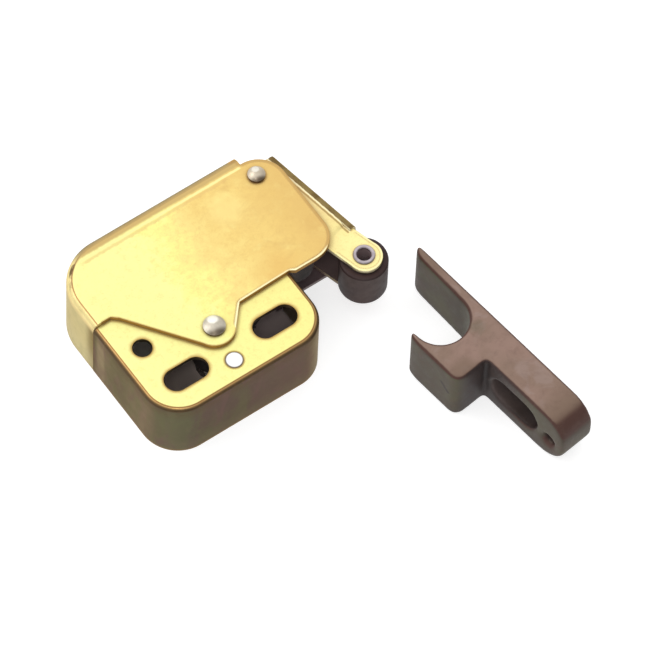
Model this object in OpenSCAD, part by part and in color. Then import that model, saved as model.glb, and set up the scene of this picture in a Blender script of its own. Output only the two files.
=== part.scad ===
// Touch catch: a riveted sheet-steel case with a sprung, roller-tipped arm,
// and the moulded strike that the roller snaps into, lying beside it.
// +X points towards the door, +Y towards the arm's pivot, +Z away from the
// cabinet side. The origin is midway between the two mounting slots, on the
// face that is screwed down.

/* [Case] */
// Thickness of the pressed sheet
sheet = 0.9; // [0.8:0.05:1.0]
// Height of the slotted front panel above the mounting face
case_h = 14.3; // [14.1:0.1:15.0]
// Distance from the slots' centre line to the front wall
front_y = 6.7; // [6.2:0.1:7.5]
// Distance from the slots' centre line to the back wall
back_y = 31.7; // [31.5:0.1:33]
// Distance from the slots' centre to the left wall
left_x = 18.1; // [17.8:0.1:18.6]
// Distance from the slots' centre to the short right wall
right_x = 17.6; // [17.2:0.1:17.7]
// Radius of the front left corner
corner_fl = 7.3; // [5:0.1:8]
// Radius of the front right corner
corner_fr = 6.6; // [5:0.1:7]
// Radius of the back left corner
corner_bl = 9.6; // [6:0.1:10]
// Outer bend radius along the front panel's edge
bend_base = 1.1; // [1.0:0.05:1.4]

/* [Cover] */
// Distance from the slots' centre to the cover's free right edge
cover_right = 28.2; // [28:0.1:28.6]
// Outer bend radius along the cover's back and left edge
bend_cover = 1.6; // [1.3:0.05:1.8]
// Where the cover's wall meets the front shell on the left side
seam_y = 16.6; // [16:0.1:17.5]
// Radius of the cover's two free corners
cover_corner = 5.4; // [4:0.1:6]
// Radius of the rounded tab under the middle rivet
tab_r = 3.95; // [3.8:0.05:4.3]

/* [Fixing holes] */
// Distance between the centres of the two mounting slots
slot_pitch = 19.0; // [18:0.1:20]
// Overall length of each mounting slot
slot_len = 8.8; // [8:0.1:9.5]
// Width of each mounting slot
slot_w = 4.6; // [4.2:0.1:4.8]
// Diameter of the round locating hole
locate_d = 3.65; // [3:0.05:4]

/* [Arm] */
// Angle at which the arm stands out at rest
arm_angle = 16.4; // [16:0.1:17]
// Distance from the pivot to the roller's centre
arm_r = 24.6; // [24.4:0.1:24.8]
// Depth of the step in the upper leaf near the roller
joggle = 0.4; // [0.3:0.1:0.6]
// Radius of the leaves' rounded ends
leaf_end_r = 3.2; // [3:0.05:3.3]
// Diameter of the roller
roller_d = 8.9; // [8.5:0.1:9.0]

/* [Strike] */
// Height of the strike
strike_h = 12.9; // [12:0.1:14]
// Radius of the strike's jaw
jaw_r = 5.3; // [5.1:0.05:5.4]
// Thickness of the strike's screw flange
flange_t = 7.3; // [7.1:0.1:7.6]
// Depth of the strike's block from back to front
block_d = 14.2; // [14.1:0.1:14.6]
// Angle at which the strike lies beside the case
strike_turn = 7.64; // [0:0.5:10]

/* [Hidden] */
$fn = 64;
t = sheet;
cover_top = case_h + t;
// Pivot of the arm, pivot of the cam, and the spacer post
A = [23.6, 26.1];
B = [-0.27, 4.76];
C = [-0.9, -2.4];
locate_p = [-12.95, 8.7];
// Running clearance between steel pieces
gap = 0.05;
// Levels of the arm's two leaves
top_hi = case_h - gap;
top_lo = top_hi - t;
wash_t = 1.7;
low_lo = t + wash_t + gap;
low_hi = low_lo + t;
tip_hi = top_hi - joggle;
tip_lo = tip_hi - t;
// Outer face of the arm's web, from behind the pivot to its free end
web_a = [5.85, 0.78];
web_b = [3.75, -19.8];
web_dir = (web_b - web_a) / norm(web_b - web_a);
web_len = norm(web_b - web_a);
web_turn = atan2(web_dir[1], web_dir[0]);
bend_arm = 1.2;
// Catch pin, in the arm's own axes
pin_p = [-4.5, -11];
pin_r = 0.9;
pin_low = 9.2;
// Rear edge of the free right end of cover and floor plate
rear = 29.6;
// Catch pin in the case's axes, and its polar place about the cam's pivot
pin_g = A + [pin_p[0] * cos(arm_angle) - pin_p[1] * sin(arm_angle),
             pin_p[0] * sin(arm_angle) + pin_p[1] * cos(arm_angle)];
cam_reach = norm(pin_g - B);
cam_turn = atan2(pin_g[1] - B[1], pin_g[0] - B[0]);
sleeve_r = 2.2;
strike_at = [42.1, -14.1];

// A straight bar with round ends, in the plane
module capsule(p, q, r) {
    translate(p) circle(r);
    translate(q) circle(r);
    translate(p) rotate(atan2(q[1] - p[1], q[0] - p[0]))
        translate([0, -r]) square([norm(q - p), 2 * r]);
}

// Point where a line from p touches the circle of radius r about c
function touch(p, c, r, side) =
    let (d = norm(p - c), a = atan2(p[1] - c[1], p[0] - c[0]), b = acos(r / d))
    c + r * [cos(a + side * b), sin(a + side * b)];

// Section of a wall that bends into a flat top: x outwards, y upwards,
// with the bend's centre line at x = 0
module bend_section(ro, h) {
    translate([0, h - ro]) intersection() {
        difference() {
            circle(ro);
            circle(ro - t);
        }
        square(ro);
    }
    translate([ro - t, 0]) square([t, h - ro]);
}

// Straight wall of the given length, outside facing +X, running towards -Y
module wall_run(len, ro, h) {
    rotate([90, 0, 0]) linear_extrude(len) bend_section(ro, h);
}

// Quarter-round wall about the origin, outside radius r, from 0 to 90 degrees
module wall_corner(r, ro, h) {
    rotate_extrude(angle = 90) translate([r - ro, 0]) bend_section(ro, h);
}

// Openings through both panels: the two slots and the round hole
module slot_holes(z0, h) {
    for (s = [-1, 1])
        translate([s * slot_pitch / 2, 0, z0]) linear_extrude(h)
            capsule([-(slot_len - slot_w) / 2, 0], [(slot_len - slot_w) / 2, 0], slot_w / 2);
    translate([locate_p[0], locate_p[1], z0]) cylinder(h = h, r = locate_d / 2);
}

// Outline of the cover's flat top
module cover_outline() {
    xi = -(left_x - bend_cover);
    yi = back_y - bend_cover;
    rc = corner_bl - bend_cover;
    p2 = [-14.0, seam_y + 0.1];
    q = [6.35, 6.35];
    t1 = touch(p2, B, tab_r - 0.06, 1);
    t2 = touch(q, B, tab_r - 0.06, -1);
    // back part, with the inside of the rounded left corner
    translate([xi + rc, seam_y]) square([22.5 - xi - rc, yi - seam_y]);
    translate([xi, seam_y]) square([rc + 0.01, yi - seam_y - rc]);
    translate([xi + rc, yi - rc]) circle(rc);
    // free right end with its two round corners
    translate([22.4, 6.0 + cover_corner])
        square([cover_right - 22.4, rear - 6.0 - 2 * cover_corner]);
    for (y = [6.0 + cover_corner, rear - cover_corner])
        translate([cover_right - cover_corner, y]) circle(cover_corner);
    translate([18.2, 6.0]) square([cover_right - cover_corner - 18.2, rear - 6.0]);
    // front edge with the rounded tab
    polygon([[xi, seam_y + 1], [xi, seam_y], p2, t1, B, t2, q, [17.2, 6.7],
             [18.2, 6.0], [19, 6.0], [19, seam_y + 1]]);
    translate(B) circle(tab_r);
}

module cover() {
    color([0.93, 0.82, 0.42]) difference() {
        union() {
            translate([0, 0, case_h]) linear_extrude(t) cover_outline();
            // left wall
            translate([-(left_x - bend_cover), seam_y, 0]) rotate(180)
                wall_run(back_y - corner_bl - seam_y, bend_cover, cover_top);
            // rounded back corner
            translate([-left_x + corner_bl, back_y - corner_bl, 0]) rotate(90)
                wall_corner(corner_bl, bend_cover, cover_top);
            // back wall
            translate([-left_x + corner_bl, back_y - bend_cover, 0]) rotate(90)
                wall_run(22.5 + left_x - corner_bl, bend_cover, cover_top);
        }
        translate([A[0], A[1], case_h - 1]) cylinder(h = 3, r = 1.27);
        translate([B[0], B[1], case_h - 1]) cylinder(h = 3, r = 1.52);
    }
}

// Outline of the slotted front panel, inside the bend
module panel_outline() {
    xl = -(left_x - bend_base);
    xr = right_x - bend_base;
    yf = -(front_y - bend_base);
    rl = corner_fl - bend_base;
    rr = corner_fr - bend_base;
    translate([xl + rl, yf + rl]) circle(rl);
    translate([xr - rr, yf + rr]) circle(rr);
    polygon([[xl, yf + rl], [xl + rl, yf + rl], [xl + rl, yf], [xr - rr, yf],
             [xr - rr, yf + rr], [xr, yf + rr], [xr, 8.2], [7.5, 9.4],
             [4.5, 11.0], [-6.5, 11.0], [-13.5, 19.0], [xl, 19.0]]);
}

module base_shell() {
    color([0.95, 0.87, 0.5]) difference() {
        union() {
            translate([0, 0, case_h - t]) linear_extrude(t) difference() {
                panel_outline();
                translate([-left_x - 1, seam_y - 0.05]) square([2.4, 4]);
            }
            // left wall up to the seam
            translate([-(left_x - bend_base), -(front_y - corner_fl), 0]) rotate(180)
                wall_run(seam_y - 0.05 + front_y - corner_fl, bend_base, case_h);
            translate([-left_x + corner_fl, -front_y + corner_fl, 0]) rotate(180)
                wall_corner(corner_fl, bend_base, case_h);
            // front wall
            translate([right_x - corner_fr, -(front_y - bend_base), 0]) rotate(-90)
                wall_run(left_x + right_x - corner_fl - corner_fr, bend_base, case_h);
            translate([right_x - corner_fr, -front_y + corner_fr, 0]) rotate(-90)
                wall_corner(corner_fr, bend_base, case_h);
            // short right wall
            translate([right_x - bend_base, 7.4, 0])
                wall_run(7.4 + front_y - corner_fr, bend_base, case_h);
        }
        slot_holes(case_h - 2, 3);
        translate([B[0], B[1], case_h - 2]) cylinder(h = 3, r = 1.62);
        translate([C[0], C[1], case_h - 2]) cylinder(h = 3, r = 1.67);
    }
}

// Outline of the plate that closes the back of the case
module floor_outline() {
    c = t + 0.1;
    xl = -left_x + c;
    yb = back_y - c;
    rb = corner_bl - c;
    rf = corner_fl - c;
    rr = corner_fr - c;
    xr = right_x - c;
    yf = -front_y + c;
    difference() {
        union() {
            translate([xl + rb, yb - rb]) circle(rb);
            translate([xl + rf, yf + rf]) circle(rf);
            translate([xr - rr, yf + rr]) circle(rr);
            polygon([[xl, yf + rf], [xl + rf, yf + rf], [xl + rf, yf], [xr - rr, yf],
                     [xr - rr, yf + rr], [xr, yf + rr], [xr, 7.5],
                     [right_x - 0.1, 7.5], [right_x - 0.1, 8.8], [cover_right - 0.6, 8.8], [cover_right, 9.4],
                     [cover_right, rear - cover_corner],
                     [cover_right - cover_corner, rear - cover_corner],
                     [cover_right - cover_corner, rear], [22.4, rear],
                     [22.4, yb], [xl + rb, yb], [xl + rb, yb - rb], [xl, yb - rb]]);
            translate([cover_right - cover_corner, rear - cover_corner]) circle(cover_corner);
        }
    }
}

module floor_plate() {
    color([0.85, 0.75, 0.4]) difference() {
        linear_extrude(t) floor_outline();
        slot_holes(-1, 3);
        for (p = [A, B, C]) translate([p[0], p[1], -0.01]) {
            cylinder(h = 2, r = 1.66);
            cylinder(h = 0.62, r1 = 2.36, r2 = 1.66);
        }
    }
}

// Rivet or post turned to the given radii; the foot is closed into the
// countersink of the floor plate
module shank(r, top, tail) {
    rotate_extrude() polygon([[0, 0], [2.3, 0], [1.62, 0.6], [1.62, t], [r, t],
                              [r, case_h - 0.04], [tail, case_h - 0.04],
                              [tail, top], [0, top]]);
}

module pivot_rivet() {
    color([0.72, 0.7, 0.66]) translate([A[0], A[1], 0]) {
        shank(1.5, cover_top, 1.25);
        // low button head
        translate([0, 0, cover_top]) {
            cylinder(h = 0.5, r = 1.62);
            intersection() {
                translate([0, 0, 1.1 - 2.487]) sphere(r = 2.487);
                translate([0, 0, 0.45]) cylinder(h = 1, r = 1.62);
            }
        }
    }
}

module pivot_sleeve() {
    color([0.7, 0.69, 0.66]) translate([A[0], A[1], t + 0.02]) difference() {
        cylinder(h = case_h - t - 0.04, r = sleeve_r);
        translate([0, 0, -1]) cylinder(h = case_h + 2, r = 1.66);
    }
}

module pivot_washer() {
    color([0.75, 0.74, 0.72]) translate([A[0], A[1], t + 0.02]) difference() {
        cylinder(h = wash_t, r = 3.9);
        translate([0, 0, -1]) cylinder(h = 3, r = sleeve_r + 0.05);
    }
}

module cam_rivet() {
    color([0.72, 0.7, 0.66]) translate([B[0], B[1], 0]) {
        shank(1.6, cover_top, 1.5);
        // low domed head
        translate([0, 0, cover_top]) {
            cylinder(h = 0.45, r = 2.05);
            intersection() {
                translate([0, 0, 1.1 - 3.507]) sphere(r = 3.507);
                translate([0, 0, 0.4]) cylinder(h = 1, r = 2.05);
            }
        }
    }
}

module cam_sleeve() {
    color([0.7, 0.69, 0.66]) translate([B[0], B[1], t + 0.02]) difference() {
        cylinder(h = case_h - 2 * t - 0.04, r = sleeve_r);
        translate([0, 0, -1]) cylinder(h = case_h + 2, r = 1.66);
    }
}

module cam_washer() {
    color([0.75, 0.74, 0.72]) translate([B[0], B[1], 5.3]) difference() {
        cylinder(h = 0.25, r = 3.6);
        translate([0, 0, -1]) cylinder(h = 3, r = sleeve_r + 0.05);
    }
}

module spacer_post() {
    color([0.86, 0.86, 0.85]) translate([C[0], C[1], 0]) {
        rotate_extrude() polygon([[0, 0], [2.3, 0], [1.62, 0.6], [1.62, t + 0.02],
                                  [2.2, t + 0.02], [2.2, case_h - t - 0.02],
                                  [1.64, case_h - t - 0.02], [1.64, case_h - 0.02],
                                  [1.5, case_h + 0.12], [0, case_h + 0.12]]);
    }
}

// Round wire swept along a list of points; all runs are nearly level
module wire(pts, r, sides) {
    n = len(pts);
    tang = [for (i = [0:n - 1])
        let (a = pts[max(0, i - 1)], b = pts[min(n - 1, i + 1)]) (b - a) / norm(b - a)];
    ring = [for (i = [0:n - 1])
        let (s0 = cross(tang[i], [0, 0, 1]), s = s0 / norm(s0), u = cross(s, tang[i]))
            for (k = [0:sides - 1])
                pts[i] + r * (cos(360 * k / sides) * s + sin(360 * k / sides) * u)];
    faces = concat(
        [[for (k = [0:sides - 1]) k]],
        [for (i = [0:n - 2]) for (k = [0:sides - 1])
            [i * sides + k, (i + 1) * sides + k, (i + 1) * sides + (k + 1) % sides]],
        [for (i = [0:n - 2]) for (k = [0:sides - 1])
            [i * sides + k, (i + 1) * sides + (k + 1) % sides, i * sides + (k + 1) % sides]],
        [[for (k = [sides - 1:-1:0]) (n - 1) * sides + k]]);
    polyhedron(points = ring, faces = faces, convexity = 10);
}

// Coil points about c from angle a0 to a1, level z0 to z1
function coil(c, r, a0, a1, z0, z1, step) =
    let (m = ceil(abs(a1 - a0) / step))
    [for (i = [0:m]) let (f = i / m, a = a0 + f * (a1 - a0))
        [c[0] + r * cos(a), c[1] + r * sin(a), z0 + f * (z1 - z0)]];

// Point given in the arm's own axes, moved to the case's axes
function on_arm(p) = A + [p[0] * cos(arm_angle) - p[1] * sin(arm_angle),
                          p[0] * sin(arm_angle) + p[1] * cos(arm_angle)];
// Point given along and across the cam, moved to the case's axes
function on_cam(p) = B + [p[0] * cos(cam_turn) - p[1] * sin(cam_turn),
                          p[0] * sin(cam_turn) + p[1] * cos(cam_turn)];

module arm_spring() {
    e = on_arm([3.45, -9]);
    color([0.6, 0.6, 0.6]) wire(concat(
        [[12.6, back_y - t - 0.45, 11.4], [18, back_y - t - 0.95, 11.4]],
        coil(A, 3.0, 90, arm_angle - 360 * 7, 11.4, 5.3, 22.5),
        [[e[0], e[1], 5.3]]), 0.4, 8);
}

module cam_spring() {
    e = on_cam([9, -2.95]);
    color([0.62, 0.62, 0.62]) wire(concat(
        [[1.66, -3.6, 1.4]],
        coil(B, 2.95, 0, cam_turn - 90 + 360 * 6, 1.4, 4.9, 24),
        [[e[0], e[1], 4.9]]), 0.3, 8);
}

// Outline of one leaf of the arm, inside the bend, in the arm's own axes
module leaf_outline(ear) {
    inx = [web_dir[1], -web_dir[0]];
    wa = web_a + inx * (bend_arm + 0.2) + web_dir * 0.15;
    wb = web_b + inx * (bend_arm + 0.2) + web_dir * (ear ? -0.4 : 0.4);
    wc = web_b + inx * 0.7 + web_dir * (ear ? -0.3 : 0.5);
    end = [0, -arm_r - 0.25];
    polygon(concat([[-3.9, 1.6], [-2.3, 2.9], [2.2, 2.7], wa, wb, wc,
                    end + [leaf_end_r - 0.05, -0.2], end - [leaf_end_r - 0.05, 0.2]],
                   ear ? [[-3.1, -16.0], [-5.3, -13.2], [-6.6, -12.2], [-6.6, -9.9],
                          [-4.3, -6.0]] : [[-2.5, -22.4], [-2.5, -14.0]]));
    translate(end) circle(leaf_end_r);
}

// Side view of the upper leaf with its step down towards the roller
module leaf_side() {
    rotate([90, 0, 90]) translate([0, 0, -9]) linear_extrude(18)
        polygon([[6, top_lo], [6, top_hi], [-17.3, top_hi], [-18.1, tip_hi], [-30, tip_hi],
                 [-30, tip_lo], [-18.1, tip_lo], [-17.3, top_lo]]);
}

module arm_frame() {
    translate([A[0], A[1], 0]) rotate(arm_angle) children();
}

// Straight web with its two bends, outside on the line from web_a to web_b
module arm_web() {
    mid = (low_lo + top_hi) / 2;
    translate([web_a[0], web_a[1], mid]) rotate(web_turn + 90)
        translate([-bend_arm, 0, 0]) {
            wall_run(web_len, bend_arm, top_hi - mid);
            mirror([0, 0, 1]) wall_run(web_len, bend_arm, mid - low_lo);
            // flat margins of the two leaves beside the bends
            for (z = [low_lo, top_lo])
                translate([-0.4, -web_len, z - mid]) cube([0.4, web_len, t]);
        }
}

module arm() {
    color([0.9, 0.8, 0.45]) arm_frame() difference() {
        union() {
            intersection() {
                translate([0, 0, 12]) linear_extrude(3) leaf_outline(true);
                leaf_side();
            }
            translate([0, 0, low_lo]) linear_extrude(t) leaf_outline(false);
            arm_web();
        }
        translate([0, 0, -1]) cylinder(h = 20, r = sleeve_r + gap);
        translate([0, -arm_r, 0]) cylinder(h = 20, r = 1.62);
        translate([pin_p[0], pin_p[1], 8]) cylinder(h = 10, r = 0.92);
    }
}

module catch_pin() {
    color([0.7, 0.69, 0.66]) arm_frame() translate([pin_p[0], pin_p[1], 0])
        rotate_extrude() polygon([[0, pin_low], [pin_r - 0.2, pin_low], [pin_r, pin_low + 0.2],
                                  [pin_r, 12.2], [1.35, 12.2], [1.35, top_lo - 0.01],
                                  [pin_r, top_lo - 0.01], [pin_r, top_hi - 0.02], [0, top_hi - 0.02]]);
}

module roller() {
    r = roller_d / 2;
    z0 = low_hi + 0.3;
    z1 = tip_lo - 0.3;
    color([0.2, 0.13, 0.13]) arm_frame() translate([0, -arm_r, 0])
        rotate_extrude() polygon([[1.65, z0], [r - 0.5, z0], [r - 0.12, z0 + 0.14], [r, z0 + 0.5],
                                  [r, z1 - 0.5], [r - 0.12, z1 - 0.14], [r - 0.5, z1], [1.65, z1]]);
}

module roller_rivet() {
    color([0.75, 0.74, 0.76]) arm_frame() translate([0, -arm_r, 0])
        rotate_extrude() polygon([[1.3, low_lo - 0.35], [1.85, low_lo - 0.35], [2.0, low_lo - 0.2],
                                  [2.0, low_lo - 0.01], [1.6, low_lo - 0.01],
                                  [1.6, tip_hi + 0.01], [2.0, tip_hi + 0.01], [2.0, tip_hi + 0.2],
                                  [1.85, tip_hi + 0.35], [1.45, tip_hi + 0.35], [1.3, tip_hi + 0.2]]);
}

module roller_washers() {
    color([0.8, 0.8, 0.78]) arm_frame() translate([0, -arm_r, 0])
        for (z = [low_hi + 0.02, tip_lo - 0.22])
            translate([0, 0, z]) difference() {
                cylinder(h = 0.2, r = 2.6);
                translate([0, 0, -1]) cylinder(h = 3, r = 1.66);
            }
}

// Closed round-cornered track through the given points
module track(pts, r) {
    w = r * 0.98;
    n = len(pts);
    for (i = [0:n - 1]) {
        p = pts[i];
        q = pts[(i + 1) % n];
        translate(p) circle(r);
        translate(p) rotate(atan2(q[1] - p[1], q[0] - p[0]))
            translate([0, -w]) square([norm(q - p), 2 * w]);
    }
}

// Lever that rocks on the middle rivet; the catch pin runs in the
// heart-shaped groove at its end
module latch_cam() {
    R = cam_reach;
    g = pin_r + 0.3;
    endp = [R - 1.6, -1.5];
    color([0.16, 0.14, 0.15]) translate([B[0], B[1], 0]) rotate(cam_turn) difference() {
        union() {
            translate([0, 0, 5.6]) cylinder(h = case_h - t - 0.1 - 5.6, r = 4.0);
            translate([0, 0, 6]) linear_extrude(5) {
                translate(endp) circle(4.3);
                polygon([[0, 3.8], [R - 1.6, 2.6], [R - 1.6, -4.2], [18.6, -3.3], [0, -3.3]]);
            }
            // peg for the small spring
            translate([8, -1.8, 4.55]) cylinder(h = 2, r = 0.8);
        }
        translate([0, 0, 4]) cylinder(h = 12, r = sleeve_r + gap);
        // heart-shaped track round its island
        translate([0, 0, 9]) linear_extrude(3)
            track([[R, 0], [R - 3.3, 0.1], [R - 3.9, -1.5], [R - 3.4, -3.6], [R - 0.6, -3.2]], g);
    }
}

// Plan of the strike in its own axes: back face on x = 0, jaw centre at y = 0
module strike_plan() {
    jaw_x = -7.55;
    difference() {
        union() {
            // block
            translate([-block_d + 1.9, -9.9]) circle(1.9);
            polygon([[-block_d + 1.9, -11.8], [-flange_t, -11.8], [-flange_t, 1], [-12.9, 1.2],
                     [-13.3, 1.25], [-13.75, 0.95], [-13.95, 0.3], [-block_d, -1.6],
                     [-block_d, -9.9], [-block_d + 1.9, -9.9]]);
            // flange
            translate([-flange_t, -31.8]) square([flange_t, 32.8]);
            // tapering leaf
            polygon([[0, -2], [0, 12.95], [-0.15, 13.3], [-0.5, 13.42], [-0.9, 13.2],
                     [-1.45, 12.5], [-1.72, 11.9], [-1.9, 10.4], [-2.2, 1.5], [-2.9, -2]]);
        }
        translate([jaw_x, 0]) circle(jaw_r);
        translate([jaw_x - 5.3, 0]) square([10.6, 1.5]);
    }
}

module strike() {
    end_r = 4.9;
    foot_r = 5.9;
    zc = strike_h / 2;
    color([0.5, 0.42, 0.39]) translate([strike_at[0], strike_at[1], 0]) rotate(strike_turn)
    difference() {
        intersection() {
            linear_extrude(strike_h) strike_plan();
            // side view: both corners of the flange's free end are round
            rotate([90, 0, 90]) translate([0, 0, -20]) linear_extrude(25) {
                translate([-31.8 + foot_r, foot_r]) circle(foot_r);
                translate([-31.8 + end_r, strike_h - end_r]) circle(end_r);
                polygon([[-31.8 + foot_r, 0], [20, 0], [20, strike_h],
                         [-31.8 + end_r, strike_h], [-31.8 + end_r, strike_h - end_r],
                         [-31.8, strike_h - end_r], [-31.8, foot_r],
                         [-31.8 + foot_r, foot_r]]);
            }
        }
        // screw slot: a head recess at the front, a narrower slot behind it
        rotate([90, 0, -90]) translate([0, 0, flange_t - 3.6]) linear_extrude(10)
            capsule([16.45, zc], [21.85, zc], 3.1);
        rotate([90, 0, -90]) translate([0, 0, -1]) linear_extrude(12)
            capsule([15.15, zc], [22.95, zc], 1.9);
        // pin hole with its countersink
        translate([0, -28.1, 5.3]) rotate([0, -90, 0]) {
            translate([0, 0, -1]) cylinder(h = 12, r = 1.2);
            translate([0, 0, flange_t - 0.6]) cylinder(h = 0.61, r1 = 1.2, r2 = 2.0);
        }
    }
}

cover();
base_shell();
floor_plate();
pivot_rivet();
pivot_sleeve();
pivot_washer();
cam_rivet();
cam_sleeve();
cam_washer();
spacer_post();
arm_spring();
cam_spring();
arm();
catch_pin();
roller();
roller_rivet();
roller_washers();
latch_cam();
strike();
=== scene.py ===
import math
import bpy
import bmesh
from mathutils import Matrix, Vector


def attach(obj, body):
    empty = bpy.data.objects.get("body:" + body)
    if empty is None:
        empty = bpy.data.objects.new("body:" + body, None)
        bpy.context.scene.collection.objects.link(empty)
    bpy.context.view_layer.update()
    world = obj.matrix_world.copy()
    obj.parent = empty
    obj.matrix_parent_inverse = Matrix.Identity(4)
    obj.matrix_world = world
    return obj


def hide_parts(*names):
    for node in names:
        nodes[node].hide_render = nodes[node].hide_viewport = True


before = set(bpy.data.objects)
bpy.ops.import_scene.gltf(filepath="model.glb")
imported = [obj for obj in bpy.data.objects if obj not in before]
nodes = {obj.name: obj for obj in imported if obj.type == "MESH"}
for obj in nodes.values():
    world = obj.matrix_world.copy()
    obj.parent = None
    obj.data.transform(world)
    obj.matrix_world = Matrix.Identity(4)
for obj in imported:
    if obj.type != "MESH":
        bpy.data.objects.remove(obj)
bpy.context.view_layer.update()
MM = 0.001


# ---------------------------------------------------------------- materials
class Paint:
    """Builds one procedural material around a Principled shader."""

    def __init__(self, name):
        self.m = bpy.data.materials.new(name)
        self.m.use_nodes = True
        self.t = self.m.node_tree
        self.b = self.t.nodes["Principled BSDF"]
        self.co = self.t.nodes.new("ShaderNodeTexCoord").outputs["Object"]
        self._xyz = None

    def link(self, a, b):
        self.t.links.new(a, b)

    def put(self, socket, v):
        if hasattr(v, "is_output"):
            self.link(v, socket)
        else:
            socket.default_value = v

    def noise(self, scale, detail=3.0, rough=0.5, warp=0.0, co=None):
        n = self.t.nodes.new("ShaderNodeTexNoise")
        self.link(co or self.co, n.inputs["Vector"])
        n.inputs["Scale"].default_value = scale
        n.inputs["Detail"].default_value = detail
        n.inputs["Roughness"].default_value = rough
        n.inputs["Distortion"].default_value = warp
        return n.outputs["Fac"]

    def stretch(self, sx, sy, sz, turn=0.0):
        n = self.t.nodes.new("ShaderNodeMapping")
        self.link(self.co, n.inputs["Vector"])
        n.inputs["Scale"].default_value = (sx, sy, sz)
        n.inputs["Rotation"].default_value = (0, 0, turn)
        return n.outputs["Vector"]

    def span(self, v, lo, hi, to_lo=0.0, to_hi=1.0, smooth=True):
        n = self.t.nodes.new("ShaderNodeMapRange")
        n.interpolation_type = "SMOOTHSTEP" if smooth else "LINEAR"
        self.link(v, n.inputs["Value"])
        n.inputs["From Min"].default_value = lo
        n.inputs["From Max"].default_value = hi
        n.inputs["To Min"].default_value = to_lo
        n.inputs["To Max"].default_value = to_hi
        return n.outputs["Result"]

    def calc(self, op, a, b=0.0, c=0.0):
        n = self.t.nodes.new("ShaderNodeMath")
        n.operation = op
        for i, v in enumerate((a, b, c)):
            self.put(n.inputs[i], v)
        return n.outputs[0]

    def both(self, *masks):
        out = masks[0]
        for m in masks[1:]:
            out = self.calc("MULTIPLY", out, m)
        return out

    def less(self, v):
        return self.calc("SUBTRACT", 1.0, v)

    def band(self, v, a, b, c, d, top=1.0):
        """A mask that rises from a to b and falls from c to d."""
        return self.both(self.span(v, a, b, 0.0, top), self.span(v, c, d, 1.0, 0.0))

    def mix(self, f, a, b, how="MIX"):
        n = self.t.nodes.new("ShaderNodeMix")
        n.data_type = "RGBA"
        n.blend_type = how
        self.put(n.inputs[0], f)
        self.put(n.inputs[6], a if hasattr(a, "is_output") else (*a, 1.0))
        self.put(n.inputs[7], b if hasattr(b, "is_output") else (*b, 1.0))
        return n.outputs[2]

    def ramp(self, f, stops):
        n = self.t.nodes.new("ShaderNodeValToRGB")
        self.link(f, n.inputs["Fac"])
        r = n.color_ramp
        while len(r.elements) < len(stops):
            r.elements.new(0.5)
        for e, (p, c) in zip(r.elements, stops):
            e.position = p
            e.color = (*c, 1.0)
        return n.outputs["Color"]

    def xyz(self):
        if self._xyz is None:
            n = self.t.nodes.new("ShaderNodeSeparateXYZ")
            self.link(self.co, n.inputs[0])
            self._xyz = n.outputs
        return self._xyz

    def along(self, dx, dy, dz, off=0.0):
        n = self.t.nodes.new("ShaderNodeVectorMath")
        n.operation = "DOT_PRODUCT"
        self.link(self.co, n.inputs[0])
        n.inputs[1].default_value = (dx, dy, dz)
        return self.calc("ADD", n.outputs["Value"], off)

    def away(self, x, y):
        """Distance in plan from the point (x, y), in metres."""
        o = self.xyz()
        dx = self.calc("SUBTRACT", o[0], x)
        dy = self.calc("SUBTRACT", o[1], y)
        return self.calc("SQRT", self.calc("ADD", self.calc("MULTIPLY", dx, dx),
                                           self.calc("MULTIPLY", dy, dy)))

    def facing(self, d):
        """How far the surface turns towards the fixed direction d."""
        g = self.t.nodes.new("ShaderNodeNewGeometry")
        n = self.t.nodes.new("ShaderNodeVectorMath")
        n.operation = "DOT_PRODUCT"
        self.link(g.outputs["Normal"], n.inputs[0])
        n.inputs[1].default_value = d
        return n.outputs["Value"]

    def crevice(self, dist, inside=False, local=False, samples=8):
        n = self.t.nodes.new("ShaderNodeAmbientOcclusion")
        n.samples = samples
        n.inside = inside
        n.only_local = local
        n.inputs["Distance"].default_value = dist
        return n.outputs["AO"]

    def bump(self, h, strength, dist):
        n = self.t.nodes.new("ShaderNodeBump")
        n.inputs["Strength"].default_value = strength
        n.inputs["Distance"].default_value = dist
        self.link(h, n.inputs["Height"])
        self.link(n.outputs["Normal"], self.b.inputs["Normal"])

    def out(self, color, rough, metal=0.0, spec=None):
        self.put(self.b.inputs["Base Color"], color if hasattr(color, "is_output") else (*color, 1.0))
        self.put(self.b.inputs["Roughness"], rough)
        if metal is not None:
            self.b.inputs["Metallic"].default_value = metal
        if spec is not None:
            self.b.inputs["Specular IOR Level"].default_value = spec
        return self.m


def srgb(r, g, b):
    f = lambda c: c / 12.92 if c <= 0.04045 else ((c + 0.055) / 1.055) ** 2.4
    return tuple(f(c / 255.0) for c in (r, g, b))


SX = (math.cos(math.radians(7.64)), math.sin(math.radians(7.64)))
# painted shade: CAVE is the colour of the case's shaded inside and undersides; the brown below it is painted shade in
# concave corners and at the foot of steps
CAVE = srgb(134, 116, 118)
CREVICE_SHADE = srgb(158, 122, 76)


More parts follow.
